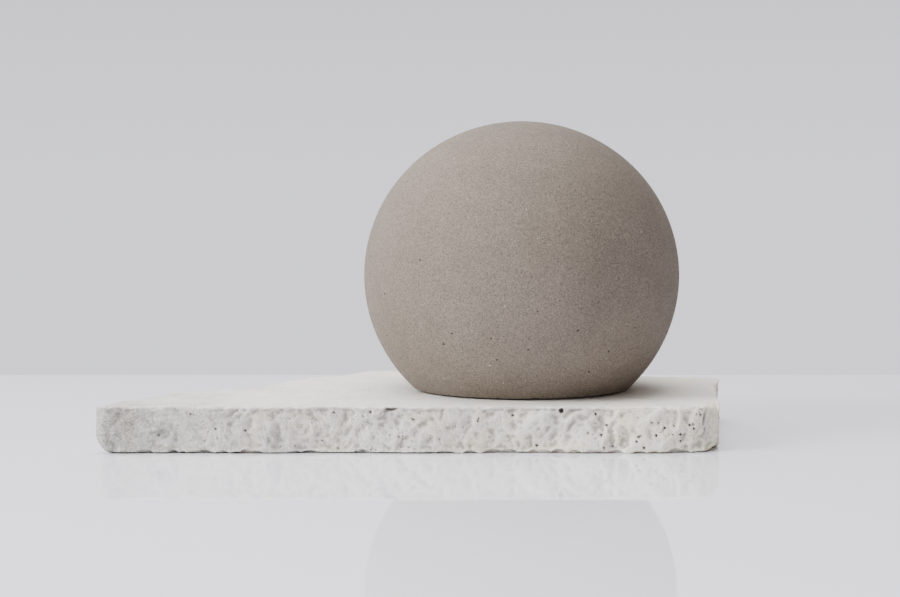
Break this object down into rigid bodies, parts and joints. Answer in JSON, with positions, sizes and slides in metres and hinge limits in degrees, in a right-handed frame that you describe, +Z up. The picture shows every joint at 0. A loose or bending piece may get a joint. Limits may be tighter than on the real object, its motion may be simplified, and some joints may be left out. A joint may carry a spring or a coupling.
{
  "type": "stone lantern",
  "caption": "Round hollow stone lantern globe with a flat foot, on a thick broken-edged stone slab, with a battery press light standing under the globe.",
  "frame": {"origin": "on the globe's axis, on the underside of the slab", "axes": "+Z up along the globe's axis, +X to the right along the slab's length, +Y to the back, where the light mouth faces; the front is -Y"},
  "size_m": [0.294, 0.17, 0.1488],
  "materials": {
    "globe_stone": "matte, fine sand grain",
    "slab_stone": "matte, cleft edges",
    "ring_felt": "pressed felt",
    "case_plastic": "fine textured moulding",
    "bezel_plastic": "satin",
    "cover_plastic": "fine textured moulding",
    "lens_plastic": "frosted",
    "reflector_plastic": "gloss white",
    "board_laminate": "satin solder mask",
    "diode": "clear over yellow phosphor",
    "switch_black": "satin",
    "switch_red": "satin",
    "spring_steel": "bright drawn wire",
    "contact_nickel": "nickel plated",
    "cell_jacket": "satin jacket",
    "screw_steel": "zinc plated",
    "seal_rubber": "matte"
  },
  "bodies": {
    "slab": {"slab": "slab_stone"},
    "seat_ring": {"seat_ring": "ring_felt"},
    "globe": {"globe": "globe_stone"},
    "lamp": {"lamp_housing": "case_plastic", "lamp_bezel": "bezel_plastic", "reflector": "reflector_plastic", "circuit_board": "board_laminate", "leds": "diode", "switch_case": "switch_black", "lens_spring": "spring_steel", "battery_cell_1": "cell_jacket", "battery_cell_2": "cell_jacket", "battery_cell_3": "cell_jacket", "contact_plates": "contact_nickel", "contact_springs": "spring_steel", "board_screws": "screw_steel", "lamp_feet": "seal_rubber"},
    "lens": {"lamp_lens": "lens_plastic", "switch_plunger": "switch_red"},
    "battery_cover": {"battery_cover": "cover_plastic", "cover_seal": "seal_rubber"}
  },
  "joints": [
    {"name": "globe_turn", "type": "hinge", "parent": "slab", "child": "seat_ring", "pos_m": [0, 0, 0.021], "axis": [0, 0, 1], "continuous": true},
    {"name": "globe_lift", "type": "slide", "parent": "seat_ring", "child": "globe", "axis": [0, 0, 1], "range_m": [0, 0.14]},
    {"name": "lamp_lift", "type": "slide", "parent": "slab", "child": "lamp", "axis": [0, 0, 1], "range_m": [0, 0.06]},
    {"name": "lens_press", "type": "slide", "parent": "lamp", "child": "lens", "axis": [0, 0, -1], "range_m": [0, 0.0015], "stiffness_N_per_m": 1500, "springref_m": -0.001, "deforming": ["lens_spring"]},
    {"name": "battery_cover_twist", "type": "hinge", "parent": "lamp", "child": "battery_cover", "pos_m": [0, 0, 0.02], "axis": [0, 0, 1], "range_deg": [0, 20]}
  ]
}
